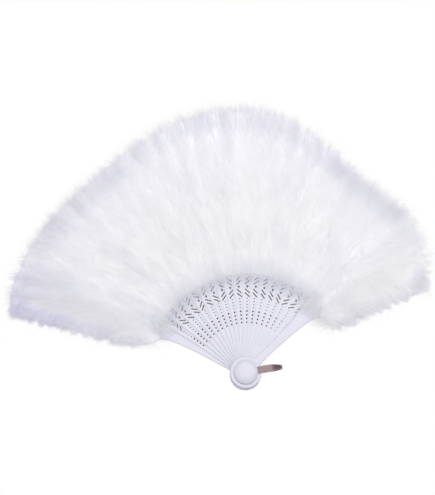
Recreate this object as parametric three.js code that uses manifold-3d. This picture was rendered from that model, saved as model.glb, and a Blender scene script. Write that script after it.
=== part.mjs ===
// Marabou folding fan, lying open on a table, in millimetres with +Z up.
// The pivot is the Z axis, the middle of the open fan points along +Y, and the table is at z = 0.
// Twenty blades turn on one rivet: a rear guard, eighteen pierced sticks and a front guard.
// Each blade runs out into a slim rib, and each rib carries one marabou plume.
import * as THREE from "three";
import { mergeVertices } from "three/addons/utils/BufferGeometryUtils.js";
import Module from "manifold-3d";

const wasm = await Module();
wasm.setup();

// Number of blades and their spread
const STICK_COUNT = 18;
const BLADE_PITCH_DEG = 5.62;

// Stack on the pivot
const STICK_THICKNESS = 0.75;
const GUARD_THICKNESS = 2;
const STACK_PLAY = 0.3;
const HEAD_RADIUS = 15;

// Pierced stick, by half-width at three places along it
const STICK_LENGTH = 178;
const STICK_NECK_HALF = 3;
const STICK_SHOULDER_HALF = 5.3;
const STICK_RIB_HALF = 2.4;
const STICK_TIP_HALF = 1.8;

// Guard, plain and thicker, by half-width at three places along it
const GUARD_LENGTH = 184;
const GUARD_NECK_HALF = 3.7;
const GUARD_FLARE_HALF = 9;
const GUARD_WAIST_TO_SHOULDER = 15;
const GUARD_RIB_HALF = 3.2;
const GUARD_TIP_HALF = 2.4;
const GUARD_EDGE = 0.7;
const GUARD_EDGE_STEPS = 2;

// Where the blades stop widening, and how far out they take to narrow to the rib
const SHOULDER_RADIUS = 95;
const SHOULDER_RUN = 8;

// Piercing of a stick, given from the shoulder inwards
const SLIT_LENGTH = 6;
const SLIT_WIDTH = 1.1;
const SLIT_LEAN_DEG = 48;
const SLIT_STEP = 3.8;
const SLIT_TO_SHOULDER = 2.6;
const EYE_LENGTH = 3;
const EYE_WIDTH = 2.4;
const EYE_TO_SLIT = 4.3;
const NOTCH_COUNT = 4;
const NOTCH_LENGTH = 0.8;
const NOTCH_WIDTH = 1.3;
const NOTCH_STEP = 3;
const SQUARE_COUNT = 4;
const SQUARE_SIDE = 1.4;
const SQUARE_STEP = 3.6;
const ROW_GAP = 3.6;
const ROW_GROWTH = 0.06;
// Sticks that lie face down, counted from the rear guard, so that their slits lean the other way
const FACE_DOWN = [1, 5, 8, 9, 16, 17, 18];

// Rivet and bail
const SHANK_RADIUS = 2;
const BORE_PLAY = 0.15;
const RIVET_HEAD_RADIUS = 6.2;
const RIVET_CAP_RADIUS = 11.5;
const RIVET_REAR_HEIGHT = 1;
const RIVET_FRONT_HEIGHT = 2.4;
const RIVET_DOME_FLAT = 2.4;
const BAIL_STRIP = 0.8;
const BAIL_EYE_RADIUS = 4.3;
const BAIL_FRONT_HALF = 3.5;
const BAIL_REAR_HALF = 1.2;
const BAIL_END_HALF = 1.6;
const BAIL_LEG = 8;
const BAIL_BELOW_GUARD_DEG = 33.1;

// Ribbon that links the ribs and stops the spread
const RIBBON_RADIUS = 140;
const RIBBON_WIDTH = 6;
const RIBBON_THICKNESS = 0.35;

// Plumes
const PLUME_REACH_REAR = 248;
const PLUME_REACH_MIDDLE = 271;
const PLUME_REACH_FRONT = 225;
const PLUME_PEAK_AT = 0.54;
const PLUME_REAR_LEVEL = 0.2;
const PLUME_FRONT_LEVEL = 0.12;
const PLUME_LOFT_REAR = 20;
const PLUME_LOFT_FRONT = 13;
const PLUME_SIDE_GAP = 0.5;
const PLUME_CLEARANCE = 0.3;
const PLUME_TO_SHOULDER = 1;
const PLUME_OVERHANG_REAR_DEG = 16;
const PLUME_OVERHANG_FRONT_DEG = 19;
const PLUME_SIDE_DROP = 13;
const PLUME_SIDE_RISE_REAR = 36;
const PLUME_SIDE_RISE_FRONT = 8;
const PLUME_ROOT_DEPTH = 1;
const PLUME_SCALLOP = 9;
const PLUME_CORNER_REAR = 20;
const PLUME_CORNER_FRONT = 34;
const PLUME_CORNER_BEND_REAR = 3;
const PLUME_CORNER_BEND_FRONT = 1.5;
const PLUME_CREST_AT = 0.5;
const PLUME_TIP_DROOP = 0.5;
const PLUME_SIDE_THINNING = 0.25;
const PLUME_OUTER_THINNING = 0.8;
const PLUME_OUTER_DROOP = 0.6;

const CURVE_SEGMENTS = 12;
const BORE_SIDES = 12;
const DOME_STEPS = 4;
const LATHE_SEGMENTS = 24;

const plastic = new THREE.MeshStandardMaterial({ color: 0xe9e8f2, roughness: 0.35, metalness: 0 });
const nickel = new THREE.MeshStandardMaterial({ color: 0x9a948c, roughness: 0.25, metalness: 1 });
const down = new THREE.MeshStandardMaterial({ color: 0xf4f4f6, roughness: 0.95, metalness: 0 });
const satin = new THREE.MeshStandardMaterial({ color: 0xf2f1f4, roughness: 0.6, metalness: 0 });

// Places that follow from the sizes above
const LAST = STICK_COUNT + 1;
const RIB_START = SHOULDER_RADIUS + SHOULDER_RUN;
const PLUME_ROOT = RIB_START + PLUME_TO_SHOULDER;
const BORE_RADIUS = (SHANK_RADIUS + BORE_PLAY) / Math.cos(Math.PI / BORE_SIDES);
const bailRearZ = RIVET_REAR_HEIGHT + STACK_PLAY;
const rearGuardZ = bailRearZ + BAIL_STRIP + STACK_PLAY;
const firstStickZ = rearGuardZ + GUARD_THICKNESS + STACK_PLAY;
const frontGuardZ = firstStickZ + STICK_COUNT * (STICK_THICKNESS + STACK_PLAY);
const bailFrontZ = frontGuardZ + GUARD_THICKNESS + STACK_PLAY;
const rivetFrontZ = bailFrontZ + BAIL_STRIP + STACK_PLAY;

const radians = THREE.MathUtils.degToRad;
const isGuard = (i) => i === 0 || i === LAST;
const bladeAngle = (i) => radians(90 + BLADE_PITCH_DEG * (LAST / 2 - i));
const bladeThickness = (i) => (isGuard(i) ? GUARD_THICKNESS : STICK_THICKNESS);
const bladeLength = (i) => (isGuard(i) ? GUARD_LENGTH : STICK_LENGTH);

function bladeZ(i) {
  return i === 0 ? rearGuardZ : firstStickZ + (i - 1) * (STICK_THICKNESS + STACK_PLAY);
}

// Closed meshes as solids and back, for the few pieces that are cut
function solidOf(geometry) {
  const bare = geometry.index ? geometry.toNonIndexed() : geometry.clone();
  bare.deleteAttribute("normal");
  bare.deleteAttribute("uv");
  const merged = mergeVertices(bare, 1e-4);
  const vertProperties = merged.attributes.position.array;
  const triVerts = new Uint32Array(merged.index.array);
  return new wasm.Manifold(new wasm.Mesh({ numProp: 3, vertProperties, triVerts }));
}

function geometryOf(solid) {
  const mesh = solid.getMesh();
  const geometry = new THREE.BufferGeometry();
  geometry.setAttribute("position", new THREE.BufferAttribute(mesh.vertProperties, 3));
  geometry.setIndex(new THREE.BufferAttribute(mesh.triVerts, 1));
  geometry.computeVertexNormals();
  return geometry;
}

// Blade outlines, drawn along +X with the pivot at the origin
function boreHole() {
  const corners = [];
  for (let k = 0; k < BORE_SIDES; k += 1) {
    const turn = (2 * Math.PI * k) / BORE_SIDES;
    corners.push(new THREE.Vector2(BORE_RADIUS * Math.cos(turn), BORE_RADIUS * Math.sin(turn)));
  }
  return new THREE.Path(corners);
}

function startAtHead(neckHalf) {
  const shape = new THREE.Shape();
  const start = Math.asin(neckHalf / HEAD_RADIUS);
  shape.absarc(0, 0, HEAD_RADIUS, start, 2 * Math.PI - start, false);
  shape.holes.push(boreHole());
  return shape;
}

function stickShape(lean) {
  const shape = startAtHead(STICK_NECK_HALF);
  const rowStart = firstSquareAt() - ROW_GAP;
  const edge = [
    [rowStart, STICK_NECK_HALF],
    [SHOULDER_RADIUS, STICK_SHOULDER_HALF],
    [RIB_START, STICK_RIB_HALF],
    [STICK_LENGTH, STICK_TIP_HALF],
  ];
  edge.forEach(([x, half]) => shape.lineTo(x, -half));
  edge.reverse().forEach(([x, half]) => shape.lineTo(x, half));
  shape.holes.push(...piercing(lean));
  return shape;
}

function guardShape() {
  const shape = startAtHead(GUARD_NECK_HALF);
  const flareAt = SHOULDER_RADIUS - SHOULDER_RUN;
  const waistAt = SHOULDER_RADIUS - GUARD_WAIST_TO_SHOULDER;
  shape.bezierCurveTo(
    waistAt, -GUARD_NECK_HALF, waistAt, -GUARD_FLARE_HALF, flareAt, -GUARD_FLARE_HALF,
  );
  shape.bezierCurveTo(
    SHOULDER_RADIUS, -GUARD_FLARE_HALF, SHOULDER_RADIUS, -GUARD_RIB_HALF, RIB_START, -GUARD_RIB_HALF,
  );
  shape.lineTo(GUARD_LENGTH, -GUARD_TIP_HALF);
  shape.lineTo(GUARD_LENGTH, GUARD_TIP_HALF);
  shape.lineTo(RIB_START, GUARD_RIB_HALF);
  shape.bezierCurveTo(
    SHOULDER_RADIUS, GUARD_RIB_HALF, SHOULDER_RADIUS, GUARD_FLARE_HALF, flareAt, GUARD_FLARE_HALF,
  );
  const headEnd = Math.sqrt(HEAD_RADIUS ** 2 - GUARD_NECK_HALF ** 2);
  shape.bezierCurveTo(
    waistAt, GUARD_FLARE_HALF, waistAt, GUARD_NECK_HALF, headEnd, GUARD_NECK_HALF,
  );
  return shape;
}

// Piercing: slits, eye, slits, then a row of notches and a row of squares, going inwards.
// The rows grow a little outwards, as the stick does.
function lastSlitAt() {
  return SHOULDER_RADIUS - SLIT_TO_SHOULDER - SLIT_STEP - 2 * EYE_TO_SLIT - SLIT_STEP;
}

function lastNotchAt() {
  return lastSlitAt() - ROW_GAP;
}

function firstSquareAt() {
  const lastSquare = lastNotchAt() - (NOTCH_COUNT - 1) * NOTCH_STEP - SQUARE_STEP;
  return lastSquare - (SQUARE_COUNT - 1) * SQUARE_STEP;
}

function slotHole(at, length, width, turn) {
  const corners = [[-1, -1], [1, -1], [1, 1], [-1, 1]].map(([along, across]) =>
    new THREE.Vector2((along * length) / 2, (across * width) / 2)
      .rotateAround(new THREE.Vector2(), turn)
      .add(new THREE.Vector2(at, 0)));
  return new THREE.Path(corners);
}

function eyeHole(at) {
  const corners = [
    [-EYE_LENGTH / 2, 0], [0, -EYE_WIDTH / 2], [EYE_LENGTH / 2, 0], [0, EYE_WIDTH / 2],
  ].map(([x, y]) => new THREE.Vector2(at + x, y));
  return new THREE.Path(corners);
}

function piercing(lean) {
  const holes = [];
  const turn = lean * radians(SLIT_LEAN_DEG);
  const upper = SHOULDER_RADIUS - SLIT_TO_SHOULDER;
  const eyeAt = upper - SLIT_STEP - EYE_TO_SLIT;
  [upper, upper - SLIT_STEP].forEach((at) => {
    holes.push(slotHole(at, SLIT_LENGTH, SLIT_WIDTH, -turn));
  });
  holes.push(eyeHole(eyeAt));
  [lastSlitAt() + SLIT_STEP, lastSlitAt()].forEach((at) => {
    holes.push(slotHole(at, SLIT_LENGTH, SLIT_WIDTH, turn));
  });
  for (let k = 0; k < NOTCH_COUNT; k += 1) {
    const width = NOTCH_WIDTH - k * ROW_GROWTH;
    holes.push(slotHole(lastNotchAt() - k * NOTCH_STEP, NOTCH_LENGTH, width, 0));
  }
  for (let k = 0; k < SQUARE_COUNT; k += 1) {
    const side = SQUARE_SIDE + k * ROW_GROWTH;
    holes.push(slotHole(firstSquareAt() + k * SQUARE_STEP, side, side, 0));
  }
  return holes;
}

// Blades
function stickGeometry(i) {
  const lean = FACE_DOWN.includes(i) ? -1 : 1;
  const settings = { depth: STICK_THICKNESS, bevelEnabled: false, curveSegments: CURVE_SEGMENTS };
  return new THREE.ExtrudeGeometry(stickShape(lean), settings);
}

function guardGeometry() {
  const settings = {
    depth: GUARD_THICKNESS - 2 * GUARD_EDGE,
    bevelThickness: GUARD_EDGE,
    bevelSize: GUARD_EDGE,
    bevelOffset: -GUARD_EDGE,
    bevelSegments: GUARD_EDGE_STEPS,
    curveSegments: CURVE_SEGMENTS,
  };
  return new THREE.ExtrudeGeometry(guardShape(), settings).translate(0, 0, GUARD_EDGE);
}

// Rivet: a shank through every blade, with a broad flat head below and a domed one in front
function domeProfile(low, top) {
  const points = [];
  for (let k = 1; k <= DOME_STEPS; k += 1) {
    const turn = ((Math.PI / 2) * k) / DOME_STEPS;
    const radius = RIVET_DOME_FLAT + (RIVET_CAP_RADIUS - RIVET_DOME_FLAT) * Math.cos(turn);
    points.push([radius, low + (top - low) * Math.sin(turn)]);
  }
  return points;
}

function rivetGeometry() {
  const top = rivetFrontZ + RIVET_FRONT_HEIGHT;
  const profile = [
    [0, 0],
    [RIVET_HEAD_RADIUS, 0],
    [RIVET_HEAD_RADIUS, RIVET_REAR_HEIGHT],
    [SHANK_RADIUS, RIVET_REAR_HEIGHT],
    [SHANK_RADIUS, rivetFrontZ],
    [RIVET_CAP_RADIUS, rivetFrontZ],
    [RIVET_CAP_RADIUS, rivetFrontZ + RIVET_FRONT_HEIGHT / 4],
    ...domeProfile(rivetFrontZ + RIVET_FRONT_HEIGHT / 4, top),
    [0, top],
  ].map(([radius, height]) => new THREE.Vector2(radius, height));
  return new THREE.LatheGeometry(profile, LATHE_SEGMENTS).rotateX(Math.PI / 2);
}

// Bail: a flat strip bent into a loop that straddles the stack, with an eye on the rivet at each end.
// Its front leg is broad and its rear leg is narrow.
function bailPlan(half, bowAt, tip, low, high) {
  const plan = new THREE.Shape();
  const start = Math.asin(half / BAIL_EYE_RADIUS);
  plan.absarc(0, 0, BAIL_EYE_RADIUS, start, 2 * Math.PI - start, false);
  plan.lineTo(bowAt, -half);
  plan.lineTo(tip, -BAIL_END_HALF);
  plan.lineTo(tip, BAIL_END_HALF);
  plan.lineTo(bowAt, half);
  plan.holes.push(boreHole());
  const settings = { depth: high - low, bevelEnabled: false, curveSegments: CURVE_SEGMENTS };
  return solidOf(new THREE.ExtrudeGeometry(plan, settings).translate(0, 0, low));
}

function bailGeometry() {
  const bottom = bailRearZ;
  const top = bailFrontZ + BAIL_STRIP;
  const middle = (bottom + top) / 2;
  const outer = (top - bottom) / 2;
  const inner = outer - BAIL_STRIP;
  const bowAt = HEAD_RADIUS + BAIL_LEG;
  const tip = bowAt + outer + BAIL_STRIP;
  const side = new THREE.Shape();
  side.moveTo(-BAIL_EYE_RADIUS, bottom);
  side.absarc(bowAt, middle, outer, -Math.PI / 2, Math.PI / 2, false);
  side.lineTo(-BAIL_EYE_RADIUS, top);
  side.lineTo(-BAIL_EYE_RADIUS, top - BAIL_STRIP);
  side.absarc(bowAt, middle, inner, Math.PI / 2, -Math.PI / 2, true);
  side.lineTo(-BAIL_EYE_RADIUS, bottom + BAIL_STRIP);
  const strip = new THREE.ExtrudeGeometry(side, {
    depth: 2 * BAIL_EYE_RADIUS,
    bevelEnabled: false,
    curveSegments: CURVE_SEGMENTS,
  }).rotateX(Math.PI / 2).translate(0, BAIL_EYE_RADIUS, 0);
  const front = bailPlan(BAIL_FRONT_HALF, bowAt, tip, middle, top + BAIL_STRIP);
  const rear = bailPlan(BAIL_REAR_HALF, bowAt, tip, bottom - BAIL_STRIP, middle);
  return geometryOf(solidOf(strip).intersect(front.add(rear)));
}

// A closed skin over rings of points, each ring the same way round
function skinOver(rings) {
  const size = rings[0].length;
  const positions = rings.flat().flatMap((p) => [p.x, p.y, p.z]);
  const index = [];
  for (let r = 0; r + 1 < rings.length; r += 1) {
    for (let k = 0; k < size; k += 1) {
      const a = r * size + k;
      const b = r * size + ((k + 1) % size);
      index.push(a, b, b + size, a, b + size, a + size);
    }
  }
  const last = (rings.length - 1) * size;
  for (let k = 1; k + 1 < size; k += 1) {
    index.push(0, k + 1, k, last, last + k, last + k + 1);
  }
  const geometry = new THREE.BufferGeometry();
  geometry.setAttribute("position", new THREE.Float32BufferAttribute(positions, 3));
  geometry.setIndex(index);
  geometry.computeVertexNormals();
  return geometry;
}

const polar = (radius, angle, z) =>
  new THREE.Vector3(radius * Math.cos(angle), radius * Math.sin(angle), z);

// Ribbon: it lies on the face of every rib and ends under the front guard's rib
function ribbonFloor(i) {
  const onFace = bladeZ(i) + bladeThickness(i) + PLUME_CLEARANCE;
  return i === LAST ? bladeZ(i) - PLUME_CLEARANCE - RIBBON_THICKNESS : onFace;
}

function ribbonGeometry(grow) {
  const near = RIBBON_RADIUS - RIBBON_WIDTH / 2 - grow;
  const far = RIBBON_RADIUS + RIBBON_WIDTH / 2 + grow;
  const endTurn = (GUARD_RIB_HALF + grow) / RIBBON_RADIUS;
  const stations = [[bladeAngle(0) + endTurn, ribbonFloor(0)]];
  for (let i = 0; i <= LAST; i += 1) {
    stations.push([bladeAngle(i), ribbonFloor(i)]);
  }
  stations.push([bladeAngle(LAST) - endTurn, ribbonFloor(LAST)]);
  const rings = stations.map(([angle, floor]) => {
    const low = floor - grow;
    const high = floor + RIBBON_THICKNESS + grow;
    const bottom = [polar(near, angle, low), polar(far, angle, low)];
    return [...bottom, polar(far, angle, high), polar(near, angle, high)];
  });
  return skinOver(rings);
}

// Plume: a wedge of down round its rib, crowned on top and lying on the table below
const PLUME_OVERHANG_LINES = [0.3, 0.55, 0.8, 1];
// Its loft along its length, as a share of the full loft
const PLUME_LOFT_PROFILE = [
  [0, 0.14], [0.1, 0.5], [0.28, 0.9], [PLUME_CREST_AT, 1], [0.72, 0.85], [0.9, 0.5], [1, 0.2],
];

function reachAt(share) {
  if (share < PLUME_PEAK_AT) {
    const rising = THREE.MathUtils.smoothstep(share, PLUME_REAR_LEVEL, PLUME_PEAK_AT);
    return PLUME_REACH_REAR + (PLUME_REACH_MIDDLE - PLUME_REACH_REAR) * rising;
  }
  const falling = THREE.MathUtils.smoothstep(1 - share, PLUME_FRONT_LEVEL, 1 - PLUME_PEAK_AT);
  return PLUME_REACH_FRONT + (PLUME_REACH_MIDDLE - PLUME_REACH_FRONT) * falling;
}

// Lines of a plume from one side to the other: its turn from the rib, and how near an outer corner it is
function plumeLines(i) {
  const half = radians(BLADE_PITCH_DEG) / 2;
  const inner = half - PLUME_SIDE_GAP / 2 / PLUME_ROOT;
  if (!isGuard(i)) {
    return [-inner, 0, inner].map((turn) => ({ turn, beyond: 0, bulge: turn === 0 ? 1 : 0 }));
  }
  const side = i === 0 ? 1 : -1;
  const reach = radians(i === 0 ? PLUME_OVERHANG_REAR_DEG : PLUME_OVERHANG_FRONT_DEG);
  const lines = PLUME_OVERHANG_LINES.map((beyond) => ({ turn: side * reach * beyond, beyond, bulge: 1 }));
  lines.unshift({ turn: -side * inner, beyond: 0, bulge: 0 }, { turn: 0, beyond: 0, bulge: 1 });
  return side > 0 ? lines : lines.reverse();
}

function plumeRing(i, lines, along, loft) {
  const centre = bladeZ(i) + bladeThickness(i) / 2;
  const sink = THREE.MathUtils.smoothstep(along, PLUME_CREST_AT, 1);
  const full = THREE.MathUtils.lerp(PLUME_LOFT_REAR, PLUME_LOFT_FRONT, i / LAST);
  const cornerCut = i === 0 ? PLUME_CORNER_REAR : PLUME_CORNER_FRONT;
  const cornerBend = i === 0 ? PLUME_CORNER_BEND_REAR : PLUME_CORNER_BEND_FRONT;
  const sideRise = i === 0 ? PLUME_SIDE_RISE_REAR : PLUME_SIDE_RISE_FRONT;
  const points = lines.map(({ turn, beyond, bulge }) => {
    const corner = cornerCut * beyond ** cornerBend;
    const reach = reachAt(i / LAST) - PLUME_SCALLOP * (1 - bulge) - corner;
    const past = THREE.MathUtils.smoothstep(beyond, PLUME_OVERHANG_LINES[0], PLUME_OVERHANG_LINES[1]);
    const root = PLUME_ROOT - PLUME_SIDE_DROP * past + sideRise * beyond ** 4;
    const radius = root + (reach - root) * along;
    const heart = centre * (1 - PLUME_TIP_DROOP * sink) * (1 - PLUME_OUTER_DROOP * beyond ** 2);
    const thinning = (1 - PLUME_SIDE_THINNING * (1 - bulge)) * (1 - PLUME_OUTER_THINNING * beyond ** 2);
    const rise = full * loft * thinning;
    const atRoot = along === 0 ? bladeZ(i) - PLUME_ROOT_DEPTH : 0;
    const floor = along === 1 ? heart - full * loft : atRoot;
    const top = heart + bladeThickness(i) / 2 + rise;
    return { high: polar(radius, turn, top), low: polar(radius, turn, Math.max(0, floor)) };
  });
  return [...points.map((p) => p.low), ...points.map((p) => p.high).reverse()];
}

function ribClearance(i) {
  const grow = PLUME_CLEARANCE;
  const ribHalf = isGuard(i) ? GUARD_RIB_HALF : STICK_RIB_HALF;
  const tipHalf = isGuard(i) ? GUARD_TIP_HALF : STICK_TIP_HALF;
  const end = bladeLength(i) + grow;
  const edge = [[RIB_START, ribHalf], [end, tipHalf]];
  if (isGuard(i)) {
    edge.unshift([SHOULDER_RADIUS - SHOULDER_RUN, GUARD_FLARE_HALF], [RIB_START, GUARD_FLARE_HALF]);
  }
  const right = edge.map(([x, half]) => new THREE.Vector2(x, -half - grow));
  const left = edge.map(([x, half]) => new THREE.Vector2(x, half + grow));
  const shape = new THREE.Shape([...right, ...left.reverse()]);
  const settings = { depth: bladeThickness(i) + 2 * grow, bevelEnabled: false };
  return new THREE.ExtrudeGeometry(shape, settings).translate(0, 0, bladeZ(i) - grow);
}

function plumeGeometry(i, ribbonRoom) {
  const lines = plumeLines(i);
  const rings = PLUME_LOFT_PROFILE.map(([along, loft]) => plumeRing(i, lines, along, loft));
  const whole = solidOf(skinOver(rings)).subtract(solidOf(ribClearance(i)));
  const ribbonHere = ribbonRoom.clone().rotateZ(-bladeAngle(i));
  return geometryOf(whole.subtract(solidOf(ribbonHere)));
}

// The fan
const fan = new THREE.Group();

function addPiece(name, geometry, material, turn, z) {
  const mesh = new THREE.Mesh(geometry, material);
  mesh.name = name;
  mesh.rotation.z = turn;
  mesh.position.z = z;
  fan.add(mesh);
}

function bladeName(i) {
  if (i === 0) return "rear_guard";
  return i === LAST ? "front_guard" : "stick_" + String(i).padStart(2, "0");
}

const ribbonRoom = ribbonGeometry(PLUME_CLEARANCE);
for (let i = 0; i <= LAST; i += 1) {
  const blade = isGuard(i) ? guardGeometry() : stickGeometry(i);
  addPiece(bladeName(i), blade, plastic, bladeAngle(i), bladeZ(i));
  addPiece("plume_" + bladeName(i), plumeGeometry(i, ribbonRoom), down, bladeAngle(i), 0);
}
addPiece("link_ribbon", ribbonGeometry(0), satin, 0, 0);
addPiece("rivet", rivetGeometry(), plastic, 0, 0);
addPiece("bail", bailGeometry(), nickel, bladeAngle(LAST) - radians(BAIL_BELOW_GUARD_DEG), 0);

export default fan;
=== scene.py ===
# %% [markdown]
# # A white marabou fan
# This lesson dresses a folding fan: twenty plastic blades on one rivet, a metal loop to hang it by,
# and a cloud of marabou, the softest down of a turkey or a stork, glued to the blades. The blades,
# the rivet and the loop come as a fixed frame of solids with joints. Everything soft is made here,
# and each piece is told which moving body it rides on.

# %% The frame
import math
from types import SimpleNamespace

import bpy
import numpy as np
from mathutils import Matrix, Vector
from mathutils.bvhtree import BVHTree


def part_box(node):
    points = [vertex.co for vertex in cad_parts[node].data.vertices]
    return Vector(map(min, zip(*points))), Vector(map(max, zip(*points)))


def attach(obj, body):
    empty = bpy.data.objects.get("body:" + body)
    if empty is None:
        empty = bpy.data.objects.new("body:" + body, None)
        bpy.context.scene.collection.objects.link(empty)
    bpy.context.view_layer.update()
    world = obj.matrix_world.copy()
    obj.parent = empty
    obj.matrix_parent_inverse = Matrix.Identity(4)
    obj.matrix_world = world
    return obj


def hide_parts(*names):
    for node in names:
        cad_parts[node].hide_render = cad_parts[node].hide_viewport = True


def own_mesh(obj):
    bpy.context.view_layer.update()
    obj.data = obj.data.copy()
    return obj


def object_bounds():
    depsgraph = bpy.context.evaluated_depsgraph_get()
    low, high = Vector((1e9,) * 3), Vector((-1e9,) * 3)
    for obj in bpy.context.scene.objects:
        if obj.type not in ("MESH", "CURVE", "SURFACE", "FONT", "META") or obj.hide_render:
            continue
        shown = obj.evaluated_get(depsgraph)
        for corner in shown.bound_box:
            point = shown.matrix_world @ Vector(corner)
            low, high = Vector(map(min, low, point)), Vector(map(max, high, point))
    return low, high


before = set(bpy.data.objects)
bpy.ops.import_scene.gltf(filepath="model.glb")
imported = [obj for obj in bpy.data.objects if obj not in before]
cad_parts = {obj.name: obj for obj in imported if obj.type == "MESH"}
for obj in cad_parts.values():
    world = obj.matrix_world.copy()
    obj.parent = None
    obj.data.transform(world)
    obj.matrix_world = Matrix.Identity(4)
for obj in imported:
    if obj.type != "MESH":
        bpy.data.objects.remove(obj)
cad_low, cad_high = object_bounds()
bpy.ops.object.select_all(action="DESELECT")
MM = 0.001
print("nodes:", len(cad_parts), "box in mm:", [round(v / MM) for v in (*cad_low, *cad_high)])

# %% [markdown]
# A blade is one stick or guard with its down. Its direction and reach could be typed in again, but
# they are already in the solids, so they are measured there: the far end of the rib gives the
# direction, and the plain solid that stands for the down gives how far the down goes.

# %% The twenty blades
NEAR_RIB = math.radians(2)
TIP_BAND = 0.2 * MM


def corners(node):
    """The corner points of a solid of the frame, in metres."""
    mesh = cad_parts[node].data
    flat = np.empty(len(mesh.vertices) * 3)
    mesh.vertices.foreach_get("co", flat)
    return flat.reshape(-1, 3)


def polar(points):
    """How far points lie from the rivet's axis, and at which angles round it."""
    return np.hypot(points[..., 0], points[..., 1]), np.arctan2(points[..., 1], points[..., 0])


def measure_blade(body, rib):
    """Where a blade points, how high it lies and how far its down reaches."""
    rib_points = corners(rib)
    rib_radii, _ = polar(rib_points)
    tip = rib_points[rib_radii > rib_radii.max() - TIP_BAND].mean(axis=0)
    angle = math.atan2(tip[1], tip[0])
    down_points = corners("plume_" + rib)
    down_radii, down_angles = polar(down_points)
    swing = down_angles - angle
    on_rib = np.abs(swing) < NEAR_RIB
    low, high = rib_points[:, 2].min(), rib_points[:, 2].max()
    return SimpleNamespace(
        body=body, rib=rib, angle=angle, low=low, high=high, middle=(low + high) / 2,
        rib_end=rib_radii.max(), root=down_radii[on_rib].min(), reach=down_radii.max(),
        left=swing.max(), right=-swing.min(), top=down_points[:, 2].max(),
    )


stick_count = sum(name.startswith("stick_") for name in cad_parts)
blades = [measure_blade("rear_blade", "rear_guard")]
for number in range(1, stick_count + 1):
    blades.append(measure_blade(f"blade_{number:02d}", f"stick_{number:02d}"))
blades.append(measure_blade("front_blade", "front_guard"))
for blade in (blades[0], blades[-1]):
    print(blade.rib, "at", round(math.degrees(blade.angle), 1), "degrees, down reaches",
          round(blade.reach / MM), "mm")

# %% [markdown]
# The fan lies open and is seen from above, a little from the handle side. A long lens from over a
# metre away keeps the blades from spreading in perspective. The camera's turn about the vertical
# sets how the fan is turned in the picture, so no shift is needed.

# %% The camera
CAMERA_AIM = (-11.5 * MM, 125.9 * MM, 12.0 * MM)
CAMERA_AWAY = 1.2
CAMERA_TILT = math.radians(12.5)
CAMERA_TURN = math.radians(-7.0)
VIEW_TALL = 483.6 * MM
SENSOR = 36.0

stand = (
    math.sin(CAMERA_TILT) * math.sin(CAMERA_TURN),
    -math.sin(CAMERA_TILT) * math.cos(CAMERA_TURN),
    math.cos(CAMERA_TILT),
)
place = [aim + CAMERA_AWAY * way for aim, way in zip(CAMERA_AIM, stand)]
bpy.ops.object.camera_add(location=place, rotation=(CAMERA_TILT, 0, CAMERA_TURN))
camera = bpy.context.object
camera.data.sensor_width = SENSOR
camera.data.lens = SENSOR * CAMERA_AWAY / VIEW_TALL
bpy.context.scene.camera = camera
bpy.context.scene.view_settings.view_transform = "Standard"
print("lens in mm:", round(camera.data.lens, 1))

# %% [markdown]
# Every finish below is a small tree of nodes. Colours are written as the hex values one would pick
# from a screen, and a shader wants them linear, so one function turns them. Another adds a node, sets
# it up and links it in one line. The others start a finish, blend colours, map one range of values to
# another, and tell what the camera and reflections see from all other light.

# %% Helpers for finishes
def linear(colour):
    """An sRGB hex colour as the linear colour a shader takes."""
    shares = [int(colour[place:place + 2], 16) / 255 for place in (1, 3, 5)]
    return [s / 12.92 if s <= 0.04045 else ((s + 0.055) / 1.055) ** 2.4 for s in shares] + [1.0]


def add_node(tree, kind, inputs=None, **settings):
    """Adds a node to a tree, with its settings and with values or links on its inputs."""
    node = tree.nodes.new(kind)
    for name, value in settings.items():
        setattr(node, name, value)
    for socket, value in (inputs or {}).items():
        if isinstance(value, bpy.types.NodeSocket):
            tree.links.new(value, node.inputs[socket])
        else:
            node.inputs[socket].default_value = value
    return node


def new_finish(name):
    """A new material, and its tree of nodes with nothing in it."""
    finish = bpy.data.materials.new(name)
    finish.use_nodes = True
    finish.node_tree.nodes.clear()
    return finish, finish.node_tree


def add_blend(tree, share, first, second, **settings):
    """Adds a blend of two colours, given as hex values or links, and returns the colour it makes."""
    pair = [linear(colour) if isinstance(colour, str) else colour for colour in (first, second)]
    inputs = {0: share, "A": pair[0], "B": pair[1]}
    return add_node(tree, "ShaderNodeMix", inputs, data_type="RGBA", **settings).outputs["Result"]


def add_range(tree, value, source=(0.0, 1.0), target=(0.0, 1.0)):
    """Adds a map from one range of values to another, and returns the value it makes."""
    inputs = {0: value, "From Min": source[0], "From Max": source[1]}
    inputs.update({"To Min": target[0], "To Max": target[1]})
    return add_node(tree, "ShaderNodeMapRange", inputs).outputs[0]


def add_direct(tree):
    """Adds a value that is 1 for the camera and for reflections, and 0 for all other light."""
    ray = add_node(tree, "ShaderNodeLightPath")
    inputs = {0: ray.outputs["Is Camera Ray"], 1: ray.outputs["Is Glossy Ray"]}
    return add_node(tree, "ShaderNodeMath", inputs, operation="MAXIMUM").outputs[0]


# %% [markdown]
# A white thing on a white ground needs soft light from one side, or its form is lost. Most of the
# light comes from all round, and a broad lamp at the upper right of the picture adds the rest, so
# that a white sheet lying open renders just about white. The camera sees the open ground as pure
# white, as in a catalogue picture, and a painted shadow where the fan lies close above it, greyed by
# how much of the sky the fan covers there: dark within a ring round the rivet, under the sticks, so
# that their piercing reads, and pale further out, under the down, which lets light through.
# Reflections show the same ground, painted shadow and all, and all other light meets a plain sheet of
# paper. Down is white because light bounces in it many times, so more bounces are allowed.

# %% The ground
FLOOR_SIZE = 6.0
FLOOR_DROP = 0.2 * MM
SHADE_REACH = 60 * MM
SHADE_RANGE = (0.12, 0.3)
STICKS_REACH = (95 * MM, 125 * MM)

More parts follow.
